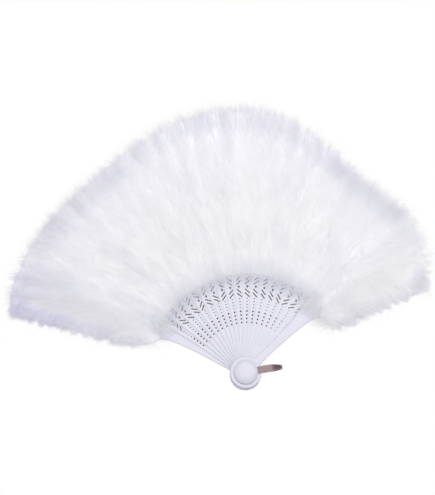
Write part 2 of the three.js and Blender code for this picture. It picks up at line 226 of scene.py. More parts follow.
bpy.ops.mesh.primitive_plane_add(size=FLOOR_SIZE, location=(0, 0, cad_low[2] - FLOOR_DROP))
floor = bpy.context.object
floor.name = "floor"
paper, tree = new_finish("White paper sweep, matt, painted shadow")
matt = add_node(tree, "ShaderNodeBsdfDiffuse", {"Color": linear("#F4F4F6")})
# Painted shadow: the camera's view of the ground is greyed by ambient occlusion where the fan covers
# it.
cover = add_node(tree, "ShaderNodeAmbientOcclusion", {"Distance": SHADE_REACH}, samples=16)
openness = add_range(tree, cover.outputs["AO"], source=SHADE_RANGE)
spot = add_node(tree, "ShaderNodeTexCoord")
away = add_node(tree, "ShaderNodeVectorMath", {0: spot.outputs["Object"]}, operation="LENGTH")
under_down = add_range(tree, away.outputs["Value"], source=STICKS_REACH)
# The painted shadow is dark within the sticks' reach round the rivet and pale further out.
shade = add_blend(tree, under_down, "#38373D", "#B4B3BA")
seen = add_blend(tree, openness, shade, "#FFFFFF")
clear = add_node(tree, "ShaderNodeEmission", {"Color": seen})
sheet = add_node(tree, "ShaderNodeMixShader", {
    0: add_direct(tree), 1: matt.outputs[0], 2: clear.outputs[0]})
add_node(tree, "ShaderNodeOutputMaterial", {"Surface": sheet.outputs[0]})
floor.data.materials.append(paper)
bpy.context.scene.cycles.max_bounces = 20
bpy.context.scene.cycles.diffuse_bounces = 16
bpy.context.scene.cycles.transmission_bounces = 16

# %% The light
WORLD_LEVEL = 0.5
LAMP_POWER = 48
LAMP_SIZE = 2.4
LAMP_AWAY = 3.0
LAMP_ANGLE = math.radians(66)
LAMP_RISE = math.radians(76)

world = bpy.data.worlds.new("soft_room")
bpy.context.scene.world = world
world.use_nodes = True
tree = world.node_tree
tree.nodes.clear()
level = add_range(tree, add_direct(tree), target=(WORLD_LEVEL, 1.0))
room = add_node(tree, "ShaderNodeBackground", {"Color": linear("#FFFFFF"), "Strength": level})
add_node(tree, "ShaderNodeOutputWorld", {"Surface": room.outputs[0]})

lamp_place = (
    CAMERA_AIM[0] + LAMP_AWAY * math.cos(LAMP_RISE) * math.cos(LAMP_ANGLE),
    CAMERA_AIM[1] + LAMP_AWAY * math.cos(LAMP_RISE) * math.sin(LAMP_ANGLE),
    LAMP_AWAY * math.sin(LAMP_RISE),
)
lamp_turn = (math.radians(90) - LAMP_RISE, 0, LAMP_ANGLE + math.radians(90))
bpy.ops.object.light_add(type="AREA", location=lamp_place, rotation=lamp_turn)
lamp = bpy.context.object
lamp.data.shape = "DISK"
lamp.data.size = LAMP_SIZE
lamp.data.energy = LAMP_POWER
print("lamp at", [round(v, 2) for v in lamp_place])

# %% [markdown]
# The blades and the rivet are white polystyrene with a cool tint, moulded in a polished tool. The eye
# sees a satin gloss, a faint clouding where the melt flowed, and a fine unevenness of the skin. All
# three are noise on Object coordinates, each at its own size in millimetres.

# %% Moulded polystyrene
CLOUD = 16 * MM
SKIN = 1.2 * MM

styrene, tree = new_finish("Polystyrene, moulded, cool white")
spot = add_node(tree, "ShaderNodeTexCoord")
cloud = add_node(tree, "ShaderNodeTexNoise", {
    "Vector": spot.outputs["Object"], "Scale": 1 / CLOUD, "Detail": 3.0})
tint = add_blend(tree, cloud.outputs[0], "#D4D3E2", "#DEDDEA")
uneven = add_node(tree, "ShaderNodeTexNoise", {
    "Vector": spot.outputs["Object"], "Scale": 1 / SKIN, "Detail": 2.0})
gloss = add_range(tree, uneven.outputs[0], target=(0.3, 0.42))
grain = add_node(tree, "ShaderNodeBump", {
    "Height": uneven.outputs[0], "Strength": 0.25, "Distance": 0.05 * MM})
body = add_node(tree, "ShaderNodeBsdfPrincipled", {
    "Base Color": tint, "Roughness": gloss, "Normal": grain.outputs[0], "IOR": 1.59})
add_node(tree, "ShaderNodeOutputMaterial", {"Surface": body.outputs[0]})

for blade in blades:
    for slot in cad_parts[blade.rib].material_slots:
        slot.material = styrene
print("moulded pieces:", len(blades))

# %% [markdown]
# The rivet, with its domed cap, is there as a solid with hard edges and flat facets. On a real one
# every edge is rounded. A copy of the solid gets its loose triangles merged, a small bevel and smooth
# shading. That is quicker and truer than modelling the shape again. Points that fall together are
# merged afterwards, so that the mesh stays closed and has no empty faces.

# %% A rounded copy of a solid
MERGE = 0.01 * MM
FLAT = math.radians(1)


def merge_points(piece):
    """Merges the points of a piece that fall together, and drops faces with no area."""
    bpy.context.view_layer.objects.active = piece
    bpy.ops.object.mode_set(mode="EDIT")
    bpy.ops.mesh.select_all(action="SELECT")
    bpy.ops.mesh.remove_doubles(threshold=MERGE)
    bpy.ops.mesh.dissolve_degenerate(threshold=MERGE)
    bpy.ops.object.mode_set(mode="OBJECT")


def reshape(piece, kind, **settings):
    """Gives a piece a modifier and applies it at once."""
    bpy.context.view_layer.objects.active = piece
    modifier = piece.modifiers.new(kind, kind)
    for name, value in settings.items():
        setattr(modifier, name, value)
    bpy.ops.object.modifier_apply(modifier=modifier.name)


def rounded_copy(node, name, edge, sharp):
    """A smooth copy of a node of the frame, with the edges over the sharp angle rounded."""
    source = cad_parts[node]
    piece = bpy.data.objects.new(name, source.data.copy())
    bpy.context.scene.collection.objects.link(piece)
    bpy.ops.object.select_all(action="DESELECT")
    bpy.context.view_layer.objects.active = piece
    piece.select_set(True)
    bpy.ops.object.mode_set(mode="EDIT")
    bpy.ops.mesh.select_all(action="SELECT")
    bpy.ops.mesh.remove_doubles(threshold=MERGE)
    bpy.ops.mesh.dissolve_limited(angle_limit=FLAT)
    bpy.ops.object.mode_set(mode="OBJECT")
    reshape(piece, "BEVEL", width=edge, segments=3, limit_method="ANGLE", angle_limit=sharp)
    merge_points(piece)
    bpy.ops.object.shade_smooth_by_angle(angle=sharp)
    piece.data.materials.clear()
    print(name, "has", len(piece.data.polygons), "faces")
    return piece


# %% The rivet
RIVET_EDGE = 0.8 * MM
RIVET_SHARP = math.radians(40)

rivet = rounded_copy("rivet", "rivet_heads", RIVET_EDGE, RIVET_SHARP)
rivet.data.materials.append(styrene)
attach(rivet, "rear_blade")
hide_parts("rivet")

# %% [markdown]
# The loop is a strip of nickelled steel, punched at both ends and bent round a former. Its faces are
# given a painted dark reflection and its rims a painted highlight, with rolling lines along the
# strip. It is made here as in the workshop: a flat blank is bent, given its thickness, punched and
# rounded at its rims. The blank's map runs along it and across it, so the lines and the painted
# highlights follow the bend.

# %% Nickel with painted dark reflection and rim highlight
LINE = 0.7 * MM
LINE_RUN = 9 * MM
STRIP_MAP_WIDE = 8.6 * MM
STRIP_MAP_LONG = 100 * MM
RIM_HIGHLIGHT_BAND = (0.42, 0.49)

nickel, tree = new_finish("Nickelled steel strip, darkened")
spot = add_node(tree, "ShaderNodeUVMap", uv_map="UVMap")
along = add_node(tree, "ShaderNodeMapping", {
    "Vector": spot.outputs[0], "Scale": (STRIP_MAP_LONG / LINE_RUN, STRIP_MAP_WIDE / LINE, 1)})
lines = add_node(tree, "ShaderNodeTexNoise", {
    "Vector": along.outputs[0], "Scale": 1.0, "Detail": 3.0})
# Painted dark reflection on the faces, streaked by the rolling lines.
dark = add_blend(tree, lines.outputs[0], "#4A4143", "#766B6C")
split = add_node(tree, "ShaderNodeSeparateXYZ", {"Vector": spot.outputs[0]})
off_middle = add_node(tree, "ShaderNodeMath", {0: split.outputs["Y"], 1: 0.5}, operation="SUBTRACT")
off_middle = add_node(tree, "ShaderNodeMath", {0: off_middle.outputs[0]}, operation="ABSOLUTE")
# Painted highlight along both rims, by distance from the middle of the strip on its map.
rim_highlight_share = add_range(tree, off_middle.outputs[0], source=RIM_HIGHLIGHT_BAND)
bright = add_blend(tree, rim_highlight_share, dark, "#CFCAC5")
worn = add_range(tree, lines.outputs[0], target=(0.28, 0.5))
body = add_node(tree, "ShaderNodeBsdfPrincipled", {
    "Base Color": bright, "Metallic": 1.0, "Roughness": worn})
add_node(tree, "ShaderNodeOutputMaterial", {"Surface": body.outputs[0]})

# %% The bent loop
STRIP_THICK = 0.8 * MM
STRIP_STEPS = 96
STRIP_ROWS = 8
EYE_RADIUS = 4.3 * MM
FRONT_HALF = 3.5 * MM
REAR_HALF = 1.2 * MM
END_HALF = 1.6 * MM
PUNCH = 2.15 * MM
BOW_BAND = 1 * MM
STRIP_EDGE = 0.2 * MM
STRIP_SHARP = math.radians(50)

bail_points = corners("bail")
bail_low, bail_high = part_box("bail")
on_bow = bail_points[:, 0] > bail_high[0] - BOW_BAND
bail_turn = math.atan2(bail_points[on_bow, 1].mean(), bail_high[0])
bow_radius = (bail_high[2] - bail_low[2] - STRIP_THICK) / 2
bow_height = (bail_high[2] + bail_low[2]) / 2
bow_at = polar(bail_points)[0].max() - bow_radius - STRIP_THICK / 2
leg = bow_at + EYE_RADIUS
half_bow = math.pi * bow_radius / 2


def strip_place(share, over):
    """Where a point of the flat blank goes when it is bent: 0 to 1 along it, -0.5 to 0.5 across it."""
    from_bow = abs(share - 0.5) * 2 * (leg + half_bow)
    side = 1 if share < 0.5 else -1
    turn = max(0.0, half_bow - from_bow) / bow_radius
    out = bow_at + bow_radius * math.sin(turn) if turn else bow_at - (from_bow - half_bow)
    high = bow_height + side * bow_radius * math.cos(turn)
    leg_half = FRONT_HALF if side > 0 else REAR_HALF
    half = leg_half + (END_HALF - leg_half) * max(0.0, out - bow_at) / bow_radius
    eye = math.sqrt(max(0.0, EYE_RADIUS ** 2 - out ** 2))
    aside = 2 * over * (max(half, eye) if out > 0 else eye)
    return (
        out * math.cos(bail_turn) - aside * math.sin(bail_turn),
        out * math.sin(bail_turn) + aside * math.cos(bail_turn),
        high,
    )


bpy.ops.object.select_all(action="DESELECT")
bpy.ops.mesh.primitive_grid_add(x_subdivisions=STRIP_STEPS, y_subdivisions=STRIP_ROWS, size=1)
bail = bpy.context.object
bail.name = "bail_strip"
for vertex in bail.data.vertices:
    vertex.co = strip_place(vertex.co.x + 0.5, vertex.co.y)
merge_points(bail)
reshape(bail, "SOLIDIFY", thickness=STRIP_THICK, offset=0)
bpy.ops.mesh.primitive_cylinder_add(
    vertices=32, radius=PUNCH, depth=2 * bail_high[2], location=(0, 0, bow_height))
punch = bpy.context.object
reshape(bail, "BOOLEAN", object=punch, operation="DIFFERENCE")
bpy.data.objects.remove(punch)
bpy.ops.object.select_all(action="DESELECT")
bail.select_set(True)
reshape(bail, "BEVEL", width=STRIP_EDGE, segments=2, limit_method="ANGLE", angle_limit=STRIP_SHARP)
merge_points(bail)
bpy.ops.object.shade_smooth_by_angle(angle=STRIP_SHARP)
bail.data.materials.append(nickel)
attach(bail, "bail_loop")
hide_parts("bail")
print("bail turned", round(math.degrees(bail_turn), 1), "degrees, bow at", round(bow_at / MM, 1), "mm")

# %% [markdown]
# Under the down a narrow satin ribbon runs from blade to blade and stops the spread. It is glued to
# each rib, so it is made as short spans, each riding on the blade it starts from, and the spans
# fold with the fan. A span is a grid, laid along its arc and given its thickness.

# %% Satin ribbon
THREAD = 0.6 * MM
RIBBON_WIDTH = 6 * MM

satin, tree = new_finish("Satin ribbon, woven, white")
spot = add_node(tree, "ShaderNodeUVMap", uv_map="UVMap")
weave = add_node(tree, "ShaderNodeTexWave", {
    "Vector": spot.outputs[0], "Scale": RIBBON_WIDTH / THREAD / 2, "Distortion": 0.4},
    bands_direction="Y")
shine = add_blend(tree, weave.outputs[1], "#E6E5EE", "#F4F4F8")
body = add_node(tree, "ShaderNodeBsdfPrincipled", {
    "Base Color": shine, "Roughness": 0.38, "Sheen Weight": 0.3})
add_node(tree, "ShaderNodeOutputMaterial", {"Surface": body.outputs[0]})

# %% The ribbon spans
RIBBON_THICK = 0.3 * MM
RIBBON_SLACK = 1.2 * MM
RIBBON_RADIUS = 140 * MM
SPAN_STEPS = 12
SPAN_ROWS = 4
SPAN_SHARP = math.radians(40)


def ribbon_span(start, end):
    """One span of ribbon, from the top of one rib to the underside of the next."""
    bpy.ops.object.select_all(action="DESELECT")
    bpy.ops.mesh.primitive_grid_add(x_subdivisions=SPAN_STEPS, y_subdivisions=SPAN_ROWS, size=1)
    span = bpy.context.object
    span.name = "ribbon_from_" + start.rib
    for vertex in span.data.vertices:
        along, over = vertex.co.x + 0.5, vertex.co.y
        angle = start.angle + (end.angle - start.angle) * along
        radius = RIBBON_RADIUS + over * RIBBON_WIDTH
        rise = start.high + RIBBON_THICK + (end.low - start.high - 2 * RIBBON_THICK) * along
        rise += RIBBON_SLACK * math.sin(math.pi * along)
        vertex.co = (radius * math.cos(angle), radius * math.sin(angle), rise)
    reshape(span, "SOLIDIFY", thickness=RIBBON_THICK, offset=0)
    bpy.ops.object.shade_smooth_by_angle(angle=SPAN_SHARP)
    span.data.materials.append(satin)
    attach(span, start.body)
    return span


spans = [ribbon_span(start, end) for start, end in zip(blades, blades[1:])]
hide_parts("link_ribbon")
print("ribbon spans:", len(spans))

# %% [markdown]
# Marabou is all barbs: a thin quill carries hundreds of long limp barbs, and each barb is furred with
# barbules too fine to see one by one. Together they scatter and pass light, so the down glows more
# than it shines. The finish is therefore two parts matt white to one part translucent. The down thins
# out towards the rim of the fan, and there it is painted darker and a cool lavender, most of all at the
# rear guard's end: a painted shade where it thins and slopes away from the light. The map's columns run
# from the heart to the rim, and each strand takes the column of its root, and with it its share of the
# painted shade. The pad under the strands has the same on its map's rows. Long random streaks that run
# out from the rivet are a little greyer.

# %% Marabou down
RIM_SHADE_STRANDS = "#F7F6FC"
RIM_SHADE_PAD = "#E4E3EE"
STREAK_LONG = 70 * MM
STREAK_WIDE = math.radians(4)
STREAK_RANGE = (0.38, 0.56)
GLOW_SHARE = 0.35

down, tree = new_finish("Marabou down, bleached white, painted rim shade")
on_map = add_node(tree, "ShaderNodeUVMap", uv_map="OFBake")
split = add_node(tree, "ShaderNodeSeparateXYZ", {"Vector": on_map.outputs[0]})
# Painted shade: the strands are darker and lavender towards the rim, by the map's columns.
rim_shade = add_blend(tree, split.outputs["X"], "#FFFFFF", RIM_SHADE_STRANDS)
strand_noise = add_node(tree, "ShaderNodeTexNoise", {
    "W": split.outputs["X"], "Scale": 90.0}, noise_dimensions="1D")
strand_tint = add_blend(tree, strand_noise.outputs[0], "#FBFBFD", "#FFFFFF")
spot = add_node(tree, "ShaderNodeTexCoord")
away = add_node(tree, "ShaderNodeVectorMath", {0: spot.outputs["Object"]}, operation="LENGTH")
sides = add_node(tree, "ShaderNodeSeparateXYZ", {"Vector": spot.outputs["Object"]})
swing = add_node(tree, "ShaderNodeMath", {
    0: sides.outputs["Y"], 1: sides.outputs["X"]}, operation="ARCTAN2")
fanned = add_node(tree, "ShaderNodeCombineXYZ", {"X": away.outputs["Value"], "Y": swing.outputs[0]})
drawn_out = add_node(tree, "ShaderNodeMapping", {
    "Vector": fanned.outputs[0], "Scale": (1 / STREAK_LONG, 1 / STREAK_WIDE, 1)})
streak_noise = add_node(tree, "ShaderNodeTexNoise", {
    "Vector": drawn_out.outputs[0], "Scale": 1.0, "Detail": 2.0})
greyer_streak = add_range(tree, streak_noise.outputs[0], source=STREAK_RANGE)
streak_tint = add_blend(tree, greyer_streak, "#FCFCFD", "#FFFFFF")
white = add_blend(tree, 1.0, rim_shade, strand_tint, blend_type="MULTIPLY")
white = add_blend(tree, 1.0, white, streak_tint, blend_type="MULTIPLY")
matt = add_node(tree, "ShaderNodeBsdfPrincipled", {
    "Base Color": white, "Roughness": 0.8, "Specular IOR Level": 0.2})
glow = add_node(tree, "ShaderNodeBsdfTranslucent", {"Color": white})
body = add_node(tree, "ShaderNodeMixShader", {0: GLOW_SHARE, 1: matt.outputs[0], 2: glow.outputs[0]})
add_node(tree, "ShaderNodeOutputMaterial", {"Surface": body.outputs[0]})

underdown, tree = new_finish("Marabou underdown, matt white, painted rim shade")
on_map = add_node(tree, "ShaderNodeUVMap", uv_map="OFBake")
split = add_node(tree, "ShaderNodeSeparateXYZ", {"Vector": on_map.outputs[0]})
# Painted shade: the pad is darker and lavender towards the rim, by the map's rows.
rim_shade = add_blend(tree, split.outputs["Y"], "#FEFEFF", RIM_SHADE_PAD)
body = add_node(tree, "ShaderNodeBsdfPrincipled", {
    "Base Color": rim_shade, "Roughness": 0.9, "Specular IOR Level": 0.1})
add_node(tree, "ShaderNodeOutputMaterial", {"Surface": body.outputs[0]})

# %% [markdown]
# A plume has tens of thousands of strands, far more than anyone could place by hand. Hair would do it,
# but hair isn't a mesh and can't fold with a blade. So the strands are grown as arrays of points: each
# sets out from its root along a heading and is drawn bit by bit towards a pull, and is then given a
# flat width that ends in a point.

# %% Growing strands
MAP_COLUMNS = 128
MAP_STRIP = 0.9 / MAP_COLUMNS
STRAND_TAPER = 0.75


def unit(vectors):
    """The vectors at length one."""
    return vectors / np.linalg.norm(vectors, axis=-1, keepdims=True)


def grow(roots, headings, pulls, lengths, steps):
    """The paths of strands that set out along their headings and bend towards their pulls."""
    points = [roots]
    for step in range(steps):
        way = unit(headings + pulls * ((step + 0.5) / steps))
        points.append(points[-1] + way * (lengths / steps)[:, None])
    return np.stack(points, axis=1)


def along_paths(paths, owner, share):
    """Points at a share of the way along the paths they are on, and the ways the paths go there."""
    steps = paths.shape[1] - 1
    rows = share * steps
    row = np.minimum(rows.astype(int), steps - 1)
    part = (rows - row)[:, None]
    before, after = paths[owner, row], paths[owner, row + 1]
    return before * (1 - part) + after * part, unit(after - before)


def flatten(paths, facings, widths, columns):
    """Paths as flat pointed strips: their points, their triangles and their places on the map."""
    count, rows = paths.shape[:2]
    along = np.linspace(0, 1, rows)
    ways = unit(np.gradient(paths, axis=1))
    across = unit(np.cross(ways, facings[:, None, :]))
    offsets = across * (widths[:, None] / 2 * (1 - STRAND_TAPER * along))[..., None]
    pairs = np.stack([paths + offsets, paths - offsets], axis=2)[:, :-1]
    points = np.concatenate([pairs.reshape(count, 2 * rows - 2, 3), paths[:, -1:]], axis=1)
    quads = np.arange(rows - 2)[:, None] * 2
    first = quads + np.array([[0, 1, 3]])
    second = quads + np.array([[0, 3, 2]])
    tip = np.array([[2 * rows - 4, 2 * rows - 3, 2 * rows - 2]])
    strip = np.concatenate([first, second, tip])
    triangles = strip[None] + (np.arange(count) * (2 * rows - 1))[:, None, None]
    sides = np.append(np.tile([0.0, MAP_STRIP], rows - 1), MAP_STRIP / 2)
    heights = np.append(np.repeat(along[:-1], 2), 1.0)
    places = np.empty((count, 2 * rows - 1, 2))
    places[..., 0] = columns[:, None] + sides
    places[..., 1] = heights
    return points.reshape(-1, 3), triangles.reshape(-1, 3), places.reshape(-1, 2)


# %% [markdown]
# Close to the ribs the down is so dense that no light finds a way through. That part is a soft pad with
# the height of the plain solid, rounded at the sides and running out to nothing at its edges. Its top
# makes the fan white, and the loose strands over it make it soft. The height is measured on the solid
# along the rib. It sinks towards the tip, and on the two guards also towards the outer side. Values in
# pairs are for the rear guard and for the front guard. The painted shade at the rim has a strength and
# a bend for each side that down can hang out at: 1 past the rear guard, -1 past the front guard, 0 at
# neither.

# %% Underdown
TIP_DROOP = 0.5
OUTER_DROOP = 0.6
OUTER_THINNING = 0.8
PAD_SHARE = 0.86
PAD_INSET = 4 * MM
PAD_SCALLOP = 5 * MM
PAD_ROOT = -9 * MM
PAD_ROOT_SPREAD = 0.55
PAD_NECK = 0.12
PAD_ROOT_GUARD = -14 * MM
PAD_SIDE_RISE = (46 * MM, 50 * MM)
PAD_SIDE_BEND = (4, 8)
PAD_CORNER = (16 * MM, 32 * MM)
PAD_CORNER_BEND = (4.0, 1.5)
PAD_FOOT = 0.16
PAD_THIN = 0.34
PAD_RAGGED = 1.5 * MM
PAD_UNEVEN = 0.07
PAD_FLOOR = 2.5 * MM
PAD_LEAST = 0.5 * MM
PAD_ROWS = 30
PAD_COLUMNS = 21
LOFT_STEPS = 16
LOFT_RANGE = (0.01, 0.97)
# Painted shade towards the rim: its strength and bend at a tip, and at each side.
RIM_SHADE_TIP = 0.2
RIM_SHADE_TIP_BEND = 2.5
RIM_SHADE_ENDS = {1: (1.1, 0.6), 0: (0.0, 1.0), -1: (0.1, 2.0)}

pitch = blades[0].angle - blades[1].angle
draw = np.random.default_rng(7)
shares = np.linspace(0, 1, LOFT_STEPS)


def loft_along(blade):
    """The solid's height over the rib's middle, at even shares of the way from its root to its tip."""
    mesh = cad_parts["plume_" + blade.rib].data
    solid = BVHTree.FromPolygons([v.co for v in mesh.vertices], [p.vertices for p in mesh.polygons])
    lofts = []
    for share in np.clip(shares, *LOFT_RANGE):
        radius = blade.root + (blade.reach - blade.root) * share
        above = Vector((radius * math.cos(blade.angle), radius * math.sin(blade.angle), 1.0))
        lofts.append(solid.ray_cast(above, Vector((0, 0, -1)))[0].z)
    radii = blade.root + (blade.reach - blade.root) * shares
    return np.array(lofts) - heart(blade, radii, np.zeros(LOFT_STEPS))


def share_of(blade, radii):
    """How far out places lie, from 0 at the root of a blade's down to 1 at its tip."""
    return np.clip((radii - blade.root) / (blade.reach - blade.root), 0, 1)


def beyond(blade, turns):
    """How far past a guard places lie, as a share of the overhang there. It is 0 between blades."""
    left = turns / blade.left if blade.left > pitch else 0 * turns
    right = -turns / blade.right if blade.right > pitch else 0 * turns
    return np.clip(np.maximum(left, right), 0, 1)


def heart(blade, radii, turns):
    """The height of a plume's middle, which sinks towards the tip and towards the outer side."""
    tip_droop = 1 - TIP_DROOP * share_of(blade, radii) ** 2
    return blade.middle * tip_droop * (1 - OUTER_DROOP * beyond(blade, turns) ** 2)


def rim_shade_share(blade, radii, turns):
    """How much painted rim shade places take: some at a tip, and most at the rear guard's end."""
    share = share_of(blade, radii)
    weight, bend = RIM_SHADE_ENDS[blade.outward]
    end = np.clip(weight * share * beyond(blade, turns) ** bend, 0, 1)
    return 1 - (1 - RIM_SHADE_TIP * share ** RIM_SHADE_TIP_BEND) * (1 - end)


def skin(blade, radii, turns):
    """The height that the pad's top would have with no rounding at its sides."""
    loft = np.interp(share_of(blade, radii), shares, blade.loft)
    loft = loft * (1 - OUTER_THINNING * beyond(blade, turns) ** 2)
    return heart(blade, radii, turns) + PAD_SHARE * loft


for blade in blades:
    blade.outward = 1 if blade.left > pitch else -1 if blade.right > pitch else 0
    blade.loft = loft_along(blade)


def pad_place(blade, along, over):
    """A place on the pad, from 0 to 1 along it and -1 to 1 across it: radius, turn, fullness."""
    middling = blade.root + (blade.reach - blade.root) * along
    narrow = pitch * (PAD_ROOT_SPREAD + (1 - PAD_ROOT_SPREAD) * np.clip(along / PAD_NECK, 0, 1))
    left, right = (
        np.maximum(side - PAD_INSET / middling, pitch) if side > pitch else narrow
        for side in (blade.left, blade.right))
    turns = np.where(over > 0, over * left, over * right)
    past = beyond(blade, turns)
    guard = 0 if blade.outward > 0 else 1
    start = blade.root + (PAD_ROOT_GUARD if blade.outward else PAD_ROOT)
    start = start + PAD_SIDE_RISE[guard] * past ** PAD_SIDE_BEND[guard]
    end = blade.reach - PAD_INSET - PAD_CORNER[guard] * past ** PAD_CORNER_BEND[guard]
    end = end - PAD_SCALLOP * over ** 2 * (past == 0)
    thin = np.clip((1 - along) / PAD_THIN, 0, 1)
    foot = np.clip(along / PAD_FOOT, 0, 1)
    full = foot * (2 - foot) * thin ** 2 * (3 - 2 * thin)
    full = full * np.where(past > 0, 1 - over ** 2, np.sqrt(1 - over ** 2))
    return start + (end - start) * along, turns, full


def pad_heights(blade, radii, turns, full):
    """The heights of the pad's top and underside at places of a given fullness."""
    middle = heart(blade, radii, turns)
    upper = middle + (skin(blade, radii, turns) - middle) * full
    return upper, middle - np.maximum(middle - PAD_FLOOR, PAD_LEAST) * full


def ragged(count):
    """Uneven lengths along an edge, with no sharp jumps from one to the next."""
    jumps = draw.normal(0, 1, count + 2)
    return PAD_RAGGED * (jumps[:-2] + 2 * jumps[1:-1] + jumps[2:]) / 4


def pad_of(blade):
    """The pad of a blade as points, triangles and places on the map."""
    along = (1 - np.cos(np.linspace(0, np.pi, PAD_ROWS)))[:, None] / 2
    over = -np.cos(np.linspace(0, np.pi, PAD_COLUMNS))[None]
    radii, turns, full = pad_place(blade, along, over)
    radii = radii + ragged(PAD_COLUMNS) * along ** 6
    outer = np.clip(over * blade.outward, 0, 1) ** 6 * blade.outward
    turns = turns + ragged(PAD_ROWS)[:, None] * outer / radii
    full = full * (1 + PAD_UNEVEN * draw.normal(0, 1, radii.shape))
    edge = np.zeros(radii.shape, bool)
    edge[[0, -1]] = True
    edge[:, [0, -1]] = True
    full[edge] = 0
    flat = (radii * np.cos(turns), radii * np.sin(turns))
    upper, lower = (np.stack([*flat, rise], axis=-1) for rise in pad_heights(blade, radii, turns, full))
    top = np.arange(radii.size).reshape(radii.shape)
    under = np.where(edge, top, top + radii.size)
    triangles = []
    for sheet, order in ((top, 1), (under, -1)):
        quads = [sheet[:-1, :-1], sheet[1:, :-1], sheet[1:, 1:], sheet[:-1, 1:]]
        quads = np.stack(quads, axis=-1).reshape(-1, 4)
        triangles += [quads[:, [0, 1, 2]][:, ::order], quads[:, [0, 2, 3]][:, ::order]]
    triangles = np.concatenate(triangles)
    # A triangle with all its corners on the edge would be in both sheets, so it is left out.
    on_edge = np.append(edge.ravel(), np.zeros(radii.size, bool))
    triangles = triangles[~on_edge[triangles].all(axis=1)]
    used, numbers = np.unique(triangles, return_inverse=True)
    # The map's rows carry how much painted rim shade each place of the pad takes.
    rim = rim_shade_share(blade, radii, turns)
    places = np.stack(np.broadcast_arrays((over + 1) / 2, rim), axis=-1).reshape(-1, 2)
    points = np.concatenate([upper.reshape(-1, 3), lower.reshape(-1, 3)])
    return points[used], numbers.reshape(-1, 3), np.concatenate([places, places])[used]


points, triangles, places = pad_of(blades[0])
pad_top = round(points[:, 2].max() / MM, 1)
print("pad of the rear guard:", len(triangles), "triangles, top in mm:", pad_top)

# %% [markdown]
# One blade carries about a dozen feathers, glued along both faces of its rib. Their quills lie nearly
# along the rib, over the pad, and sink with it at the tip. Short ones at the root cover the shoulders
# of the blade. The two guards have more of them, some turned well outwards, because the down hangs
# past the outer blades. Positions are first laid out for a blade that points along X, and turned to
# the blade's own direction at the end. A kind of feather is given by how many there are on a blade and
# on a guard, its face, the shares of the rib where it sits, its greatest length and its outward turns.

# %% Quills
QUILL_STEPS = 12
QUILL_TIP_GAP = 9 * MM
QUILL_WIDTH = 0.5 * MM
QUILL_CLEAR = 0.5 * MM
QUILL_CURL = 4 * MM
QUILL_ASIDE = 1.5 * MM
QUILL_LIFT = (0.6, 2.4)
QUILL_PLAY = (0.8, 1.0)
QUILL_TIP_PLAY = (0.8, 1.9)
FEATHER_SPREAD = math.radians(5)
FEATHER_KINDS = [
    SimpleNamespace(count=6, guard=13, face=1, seats=(0.05, 0.97), longest=120 * MM, turned=(0.0, 1.4)),
    SimpleNamespace(count=3, guard=4, face=1, seats=(-0.1, 0.08), longest=46 * MM, turned=(0.0, 0.6)),
    SimpleNamespace(count=0, guard=10, face=1, seats=(-0.02, 0.5), longest=40 * MM, turned=(1.6, 4.6)),
    SimpleNamespace(count=0, guard=9, face=1, seats=(-0.2, -0.02), longest=32 * MM, turned=(-0.8, 1.6)),
    SimpleNamespace(count=2, guard=5, face=-1, seats=(0.0, 0.95), longest=120 * MM, turned=(0.0, 1.4)),
]


def shuffled_steps(count):
    """Shares from 0 to 1, evenly spread with some play, in random order."""
    return draw.permutation((np.arange(count) + draw.random(count)) / max(count, 1))


def quills_of(blade, kind):
    """The paths of a blade's quills of one kind."""
    count = kind.guard if blade.outward else kind.count
    outward = max(blade.left, blade.right) * blade.outward
    seats = kind.seats[0] + (kind.seats[1] - kind.seats[0]) * shuffled_steps(count)
    turns = kind.turned[0] + (kind.turned[1] - kind.turned[0]) * shuffled_steps(count)
    turns = turns * outward + draw.uniform(-FEATHER_SPREAD, FEATHER_SPREAD, count)
    starts = blade.root + (blade.rib_end - blade.root) * seats
    ends = blade.reach - QUILL_TIP_GAP * draw.uniform(*QUILL_TIP_PLAY, count)
    lengths = np.minimum(ends - starts, kind.longest * draw.uniform(*QUILL_PLAY, count))
    along = np.linspace(0, 1, QUILL_STEPS + 1)
    curl = draw.normal(0, QUILL_CURL, count)
    forth = starts[:, None] + lengths[:, None] * along * np.cos(turns)[:, None]
    aside = lengths[:, None] * along * np.sin(turns)[:, None] + curl[:, None] * along ** 2
    aside += draw.normal(0, QUILL_ASIDE, count)[:, None]
    radii, swing = polar(np.stack([forth, aside], axis=2))
    lift = (QUILL_LIFT[0] + QUILL_LIFT[1] * draw.random(count)) * MM
    lift = lift[:, None] * np.sin(np.pi * along)
    under = np.full_like(radii, PAD_FLOOR)
    rise = (skin(blade, radii, swing) if kind.face > 0 else under) + kind.face * (QUILL_CLEAR + lift)
    return np.stack([forth, aside, rise], axis=2)


sample = blades[len(blades) // 2]
paths = [quills_of(sample, kind) for kind in FEATHER_KINDS]
print("feathers on a middle blade:", [len(some) for some in paths])

# %% [markdown]
# Barbs leave the quill on both sides. At its foot they lean back and hide the root, further on they
# lie closer and closer to the quill. Neighbouring barbs cling together in locks, which is what makes
# the streaks and the small tufts at the edge, so most of each pull is shared by a lock of barbs.
# Barbs on the front lie on the skin of the pad, not in it. The angles are in degrees.

# %% Barbs
BARB_STEP = 1.05 * MM
BARB_STEPS = 5
BARB_LONG = 34 * MM
BARB_WIDTH = 0.14 * MM
BARB_CLEAR = 0.3 * MM
BARB_FOOT = 12 * MM
BARB_OPEN = 62
BARB_CLOSING = 46
BARB_BACK = 60
BARB_RISE = (0.1, 0.25)
BARB_STRAY = 0.12
BARB_PLAY = (0.75, 1.1)
BARB_SHORTENING = 0.55
LOCK_SIZE = 10
LOCK_PULL = 0.28


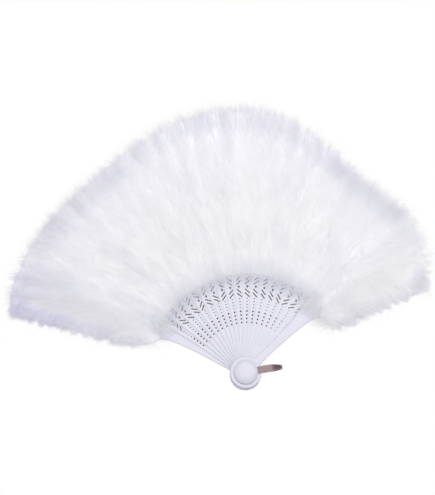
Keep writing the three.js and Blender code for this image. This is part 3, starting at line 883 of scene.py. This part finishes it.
def barbs_of(blade, quills, face):
    """The paths of the barbs on quills of one kind."""
    quill_lengths = np.linalg.norm(quills[:, -1] - quills[:, 0], axis=1)
    counts = (quill_lengths / BARB_STEP).astype(int)
    owner = np.repeat(np.arange(len(quills)), counts)
    share = np.concatenate([(np.arange(count) + 0.5) / count for count in counts])
    share = np.clip(share + draw.normal(0, 0.01, len(share)), 0.005, 0.995)
    roots, tangent = along_paths(quills, owner, share)
    side = np.where(draw.random(len(owner)) < 0.5, 1.0, -1.0)
    level = unit(np.cross(np.array([0.0, 0.0, 1.0]), tangent)) * side[:, None]
    rise = draw.normal(*BARB_RISE, len(owner)) * face
    foot = np.clip(1 - share * quill_lengths[owner] / BARB_FOOT, 0, 1)
    spread = np.radians(BARB_OPEN - BARB_CLOSING * share ** 0.7 + BARB_BACK * foot)
    spread = spread + draw.normal(0, BARB_STRAY, len(owner))
    headings = tangent * np.cos(spread)[:, None] + level * np.sin(spread)[:, None]
    headings[:, 2] += rise
    locks = np.arange(len(owner)) // LOCK_SIZE * 2 + (side > 0)
    lock_pull = draw.normal(0, 1, (locks.max() + 1, 3))
    pulls = tangent * 0.6 * (1 - foot)[:, None] + lock_pull[locks] * LOCK_PULL
    pulls += draw.normal(0, BARB_STRAY, (len(owner), 3))
    pulls[:, 2] = pulls[:, 2] * 0.5 - 0.15 * face
    lengths = BARB_LONG * (1 - BARB_SHORTENING * share) * np.minimum(1, 0.55 + 3 * share)
    lengths = lengths * draw.uniform(*BARB_PLAY, len(owner))
    barbs = grow(roots, unit(headings), pulls, lengths, BARB_STEPS)
    if face > 0:
        radii, swing = polar(barbs)
        lowest = skin(blade, radii, swing) + BARB_CLEAR
        past_tip = np.maximum(radii - blade.reach + PAD_INSET, 0)
        barbs[..., 2] = np.maximum(barbs[..., 2], lowest - past_tip)
    return barbs


barb_paths = barbs_of(sample, paths[0], FEATHER_KINDS[0].face)
print("barbs on its long feathers:", len(barb_paths))

# %% [markdown]
# Between the feathers loose barbs stand everywhere on the pad, like fur brushed outwards. At the foot
# they point back over the shoulders of the blades, and on a guard's outer side they point off it.
# Broader ones, with less fur, make a dense fringe along the edges, so that the outline is soft and the
# pad never shows. Barbs that stand close together are drawn to one path, which makes the fringe tufted.
# A kind is given by how many there are on a blade and on a guard, the part of the pad where they stand,
# their length and width, how many degrees they turn outwards, whether they all point back, how much
# they cling together and form tufts, the share on the underside, and how many barbules each has.

# %% Loose barbs
LOOSE_KINDS = [
    SimpleNamespace(count=650, guard=800, along=(0.03, 1), over=(-1, 1), long=17 * MM,
                    width=0.14 * MM, outward=75, back=False, cling=0.3, tuft=0.0, under=0.2, fur=10),
    SimpleNamespace(count=180, guard=250, along=(0.86, 1), over=(-1, 1), long=17 * MM,
                    width=0.14 * MM, outward=45, back=False, cling=0.3, tuft=0.3, under=0.2, fur=10),
    SimpleNamespace(count=600, guard=900, along=(0.82, 1), over=(-1, 1), long=14 * MM,
                    width=0.38 * MM, outward=45, back=False, cling=0.5, tuft=0.6, under=0.2, fur=3),
    SimpleNamespace(count=0, guard=2300, along=(0, 1), over=(0.72, 1), long=13 * MM,
                    width=0.4 * MM, outward=75, back=False, cling=0.5, tuft=0.6, under=0.35, fur=2),
    SimpleNamespace(count=210, guard=700, along=(0.03, 0.15), over=(-1, 1), long=37 * MM,
                    width=0.22 * MM, outward=0, back=True, cling=0.4, tuft=0.0, under=0.2, fur=4),
]
TUFTS_ALONG = 14
TUFTS_OVER = 8
TUFTS = TUFTS_ALONG * TUFTS_OVER
BACK_FOOT = 0.05
BACK_LONG = 0.6
SIDE_LEAN = 10
LOOSE_STRAY = 0.3
LOOSE_CLIMB = (0.25, 0.15)
LOOSE_SINK = 0.3
LOOSE_PULL = 0.15
LOOSE_PLAY = (0.6, 1.1)
FACE_HALF = 8 * MM
FACE_CLEAR = 0.4 * MM

stick_step = blades[2].low - blades[1].low


def loose_barbs_of(blade, kind):
    """The paths of the loose barbs of one kind on a blade's pad."""
    count = kind.guard if blade.outward else kind.count
    along = draw.uniform(*kind.along, count)
    over = draw.uniform(*kind.over, count) * (blade.outward or 1)
    along, over = np.clip(along, 0.004, 0.996), np.clip(over, -0.99, 0.99)
    radii, turns, full = pad_place(blade, along, over)
    upper, lower = pad_heights(blade, radii, turns, full)
    below = draw.random(count) < kind.under
    rise = np.where(below, lower, upper)
    roots = np.stack([radii * np.cos(turns), radii * np.sin(turns), rise], axis=1)
    off = np.clip(over * blade.outward, 0, 1)
    back = (np.clip(1 - along / BACK_FOOT, 0, 1) > draw.random(count)) | kind.back
    outwards = blade.outward * kind.outward * off ** 1.5
    lean = np.radians(np.where(back, 180, SIDE_LEAN * over + outwards))
    ways = turns + (lean + draw.normal(0, LOOSE_STRAY, count))
    climb = draw.normal(*LOOSE_CLIMB, count)
    headings = np.stack([np.cos(ways), np.sin(ways), np.where(below, -climb, climb)], axis=1)
    locks = (along * TUFTS_ALONG).astype(int) * TUFTS_OVER
    locks = locks + ((over + 1) / 2 * TUFTS_OVER).astype(int)
    lock_pull = draw.normal(0, 1, (TUFTS, 3))
    pulls = lock_pull[locks] * kind.cling + draw.normal(0, LOOSE_PULL, (count, 3))
    pulls[:, 2] = pulls[:, 2] * 0.5 - np.where(below, -LOOSE_SINK, LOOSE_SINK)
    lengths = kind.long * draw.uniform(*LOOSE_PLAY, count) * np.where(back, BACK_LONG, 1)
    barbs = grow(roots, unit(headings), pulls, lengths, BARB_STEPS)
    shared = np.zeros((TUFTS, BARB_STEPS + 1, 3))
    np.add.at(shared, locks, barbs)
    shared /= np.maximum(np.bincount(locks, minlength=TUFTS), 1)[:, None, None]
    growing = np.linspace(0, 1, BARB_STEPS + 1)[None, :, None]
    barbs += (shared[locks] - barbs) * kind.tuft * growing
    if kind.back:
        _, swing = polar(barbs)
        face = blade.high + FACE_CLEAR + stick_step * np.maximum(-swing / pitch, 0)
        off_face = barbs[..., 1] * blade.outward > FACE_HALF
        barbs[..., 2] = np.where(off_face, barbs[..., 2], np.maximum(barbs[..., 2], face))
    return barbs


print("loose barbs on a middle blade:", [len(loose_barbs_of(sample, kind)) for kind in LOOSE_KINDS])

# %% [markdown]
# The barbules make the haze round each barb. They are three triangles each, stand off the barb all
# round and grow shorter towards its tip.

# %% Barbules
BARB_FUR = 10
BARBULE_STEPS = 2
BARBULE_LONG = 5.0 * MM
BARBULE_WIDTH = 0.08 * MM
BARBULE_SPREAD = (0.7, 0.2)
BARBULE_PLAY = (0.6, 1.2)


def barbules_of(barbs, fur):
    """The paths of the barbules that fur a set of barbs, and the barb that each is on."""
    owner = np.repeat(np.arange(len(barbs)), fur)
    share = np.tile((np.arange(fur) + 0.5) / fur, len(barbs))
    share = np.clip(share + draw.normal(0, 0.03, len(share)), 0.03, 0.98)
    roots, tangent = along_paths(barbs, owner, share)
    aside = unit(np.cross(tangent, draw.normal(0, 1, tangent.shape)))
    spread = draw.normal(*BARBULE_SPREAD, len(owner))[:, None]
    headings = tangent * np.cos(spread) + aside * np.sin(spread)
    pulls = tangent * 0.5 + draw.normal(0, 0.2, tangent.shape)
    lengths = BARBULE_LONG * (1 - 0.5 * share) * draw.uniform(*BARBULE_PLAY, len(owner))
    return grow(roots, headings, pulls, lengths, BARBULE_STEPS), owner


barbule_paths, owner = barbules_of(barb_paths, BARB_FUR)
print("barbules on them:", len(barbule_paths))

# %% [markdown]
# Now a plume is put together: pad, quills, barbs and barbules become one mesh, turned to its blade,
# with nothing below the table. It takes the place of the plain solid and rides on its blade. The
# guards' down hangs out at the sides.

# %% Plumes
TABLE_GAP = 0.4 * MM
LOOSE_TOP = 5 * MM


def mesh_of(name, points, triangles, places):
    """A mesh from arrays of points, triangles and places on the map."""
    mesh = bpy.data.meshes.new(name)
    mesh.vertices.add(len(points))
    mesh.vertices.foreach_set("co", points.ravel())
    mesh.loops.add(triangles.size)
    mesh.loops.foreach_set("vertex_index", triangles.ravel())
    mesh.polygons.add(len(triangles))
    mesh.polygons.foreach_set("loop_start", np.arange(0, triangles.size, 3))
    mesh.uv_layers.new(name="OFBake").data.foreach_set("uv", places[triangles.ravel()].ravel())
    mesh.update(calc_edges=True)
    return mesh


def settle(blade, heights):
    """Keeps strands off the table, and lays down those that stand too high."""
    excess = np.maximum(heights - blade.top, 0)
    heights = np.minimum(heights, blade.top) + LOOSE_TOP * np.tanh(excess / LOOSE_TOP)
    return np.maximum(heights, cad_low[2] + TABLE_GAP)


def columns_of(blade, paths):
    """The map's columns of strands, from the heart to the rim, by their roots: their share of painted
    rim shade.
    """
    rim = rim_shade_share(blade, *polar(paths[:, 0]))
    rim = np.clip(rim + draw.normal(0, 0.05, len(rim)), 0, 1)
    return np.floor(rim * (MAP_COLUMNS - 1)) / MAP_COLUMNS


def strands_of(paths, width, columns):
    """Flat strands of one width on paths, facing any way."""
    facings = unit(draw.normal(0, 1, (len(paths), 3)))
    return flatten(paths, facings, np.full(len(paths), width), columns)


def plume_of(blade):
    """The whole plume of a blade."""
    parts = [pad_of(blade)]
    pad_size = len(parts[0][1])
    furred = [(loose_barbs_of(blade, kind), kind.width, kind.fur) for kind in LOOSE_KINDS]
    for kind in FEATHER_KINDS:
        quills = quills_of(blade, kind)
        if len(quills):
            parts.append(strands_of(quills, QUILL_WIDTH, columns_of(blade, quills)))
            furred.append((barbs_of(blade, quills, kind.face), BARB_WIDTH, BARB_FUR))
    for barbs, width, fur in furred:
        barbules, barb = barbules_of(barbs, fur)
        columns = columns_of(blade, barbs)
        parts.append(strands_of(barbs, width, columns))
        parts.append(strands_of(barbules, BARBULE_WIDTH, columns[barb]))
    firsts = np.cumsum([0] + [len(part[0]) for part in parts])
    points = np.concatenate([part[0] for part in parts])
    triangles = np.concatenate([part[1] + first for part, first in zip(parts, firsts)])
    places = np.concatenate([part[2] for part in parts])
    points[:, 2] = settle(blade, points[:, 2])
    turn = np.array([[math.cos(blade.angle), math.sin(blade.angle), 0],
                     [-math.sin(blade.angle), math.cos(blade.angle), 0], [0, 0, 1]])
    mesh = mesh_of("down_" + blade.rib, points @ turn, triangles, places)
    mesh.materials.append(down)
    mesh.materials.append(underdown)
    finishes = np.zeros(len(triangles), np.int32)
    finishes[:pad_size] = 1
    mesh.polygons.foreach_set("material_index", finishes)
    mesh.polygons.foreach_set("use_smooth", finishes > 0)
    plume = bpy.data.objects.new("down_" + blade.rib, mesh)
    bpy.context.scene.collection.objects.link(plume)
    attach(plume, blade.body)
    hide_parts("plume_" + blade.rib)
    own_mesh(plume)
    return plume


plumes = [plume_of(blade) for blade in blades]
counts = [len(plume.data.polygons) for plume in plumes]
print("plumes:", len(plumes), "triangles in all:", sum(counts), "most in one:", max(counts))
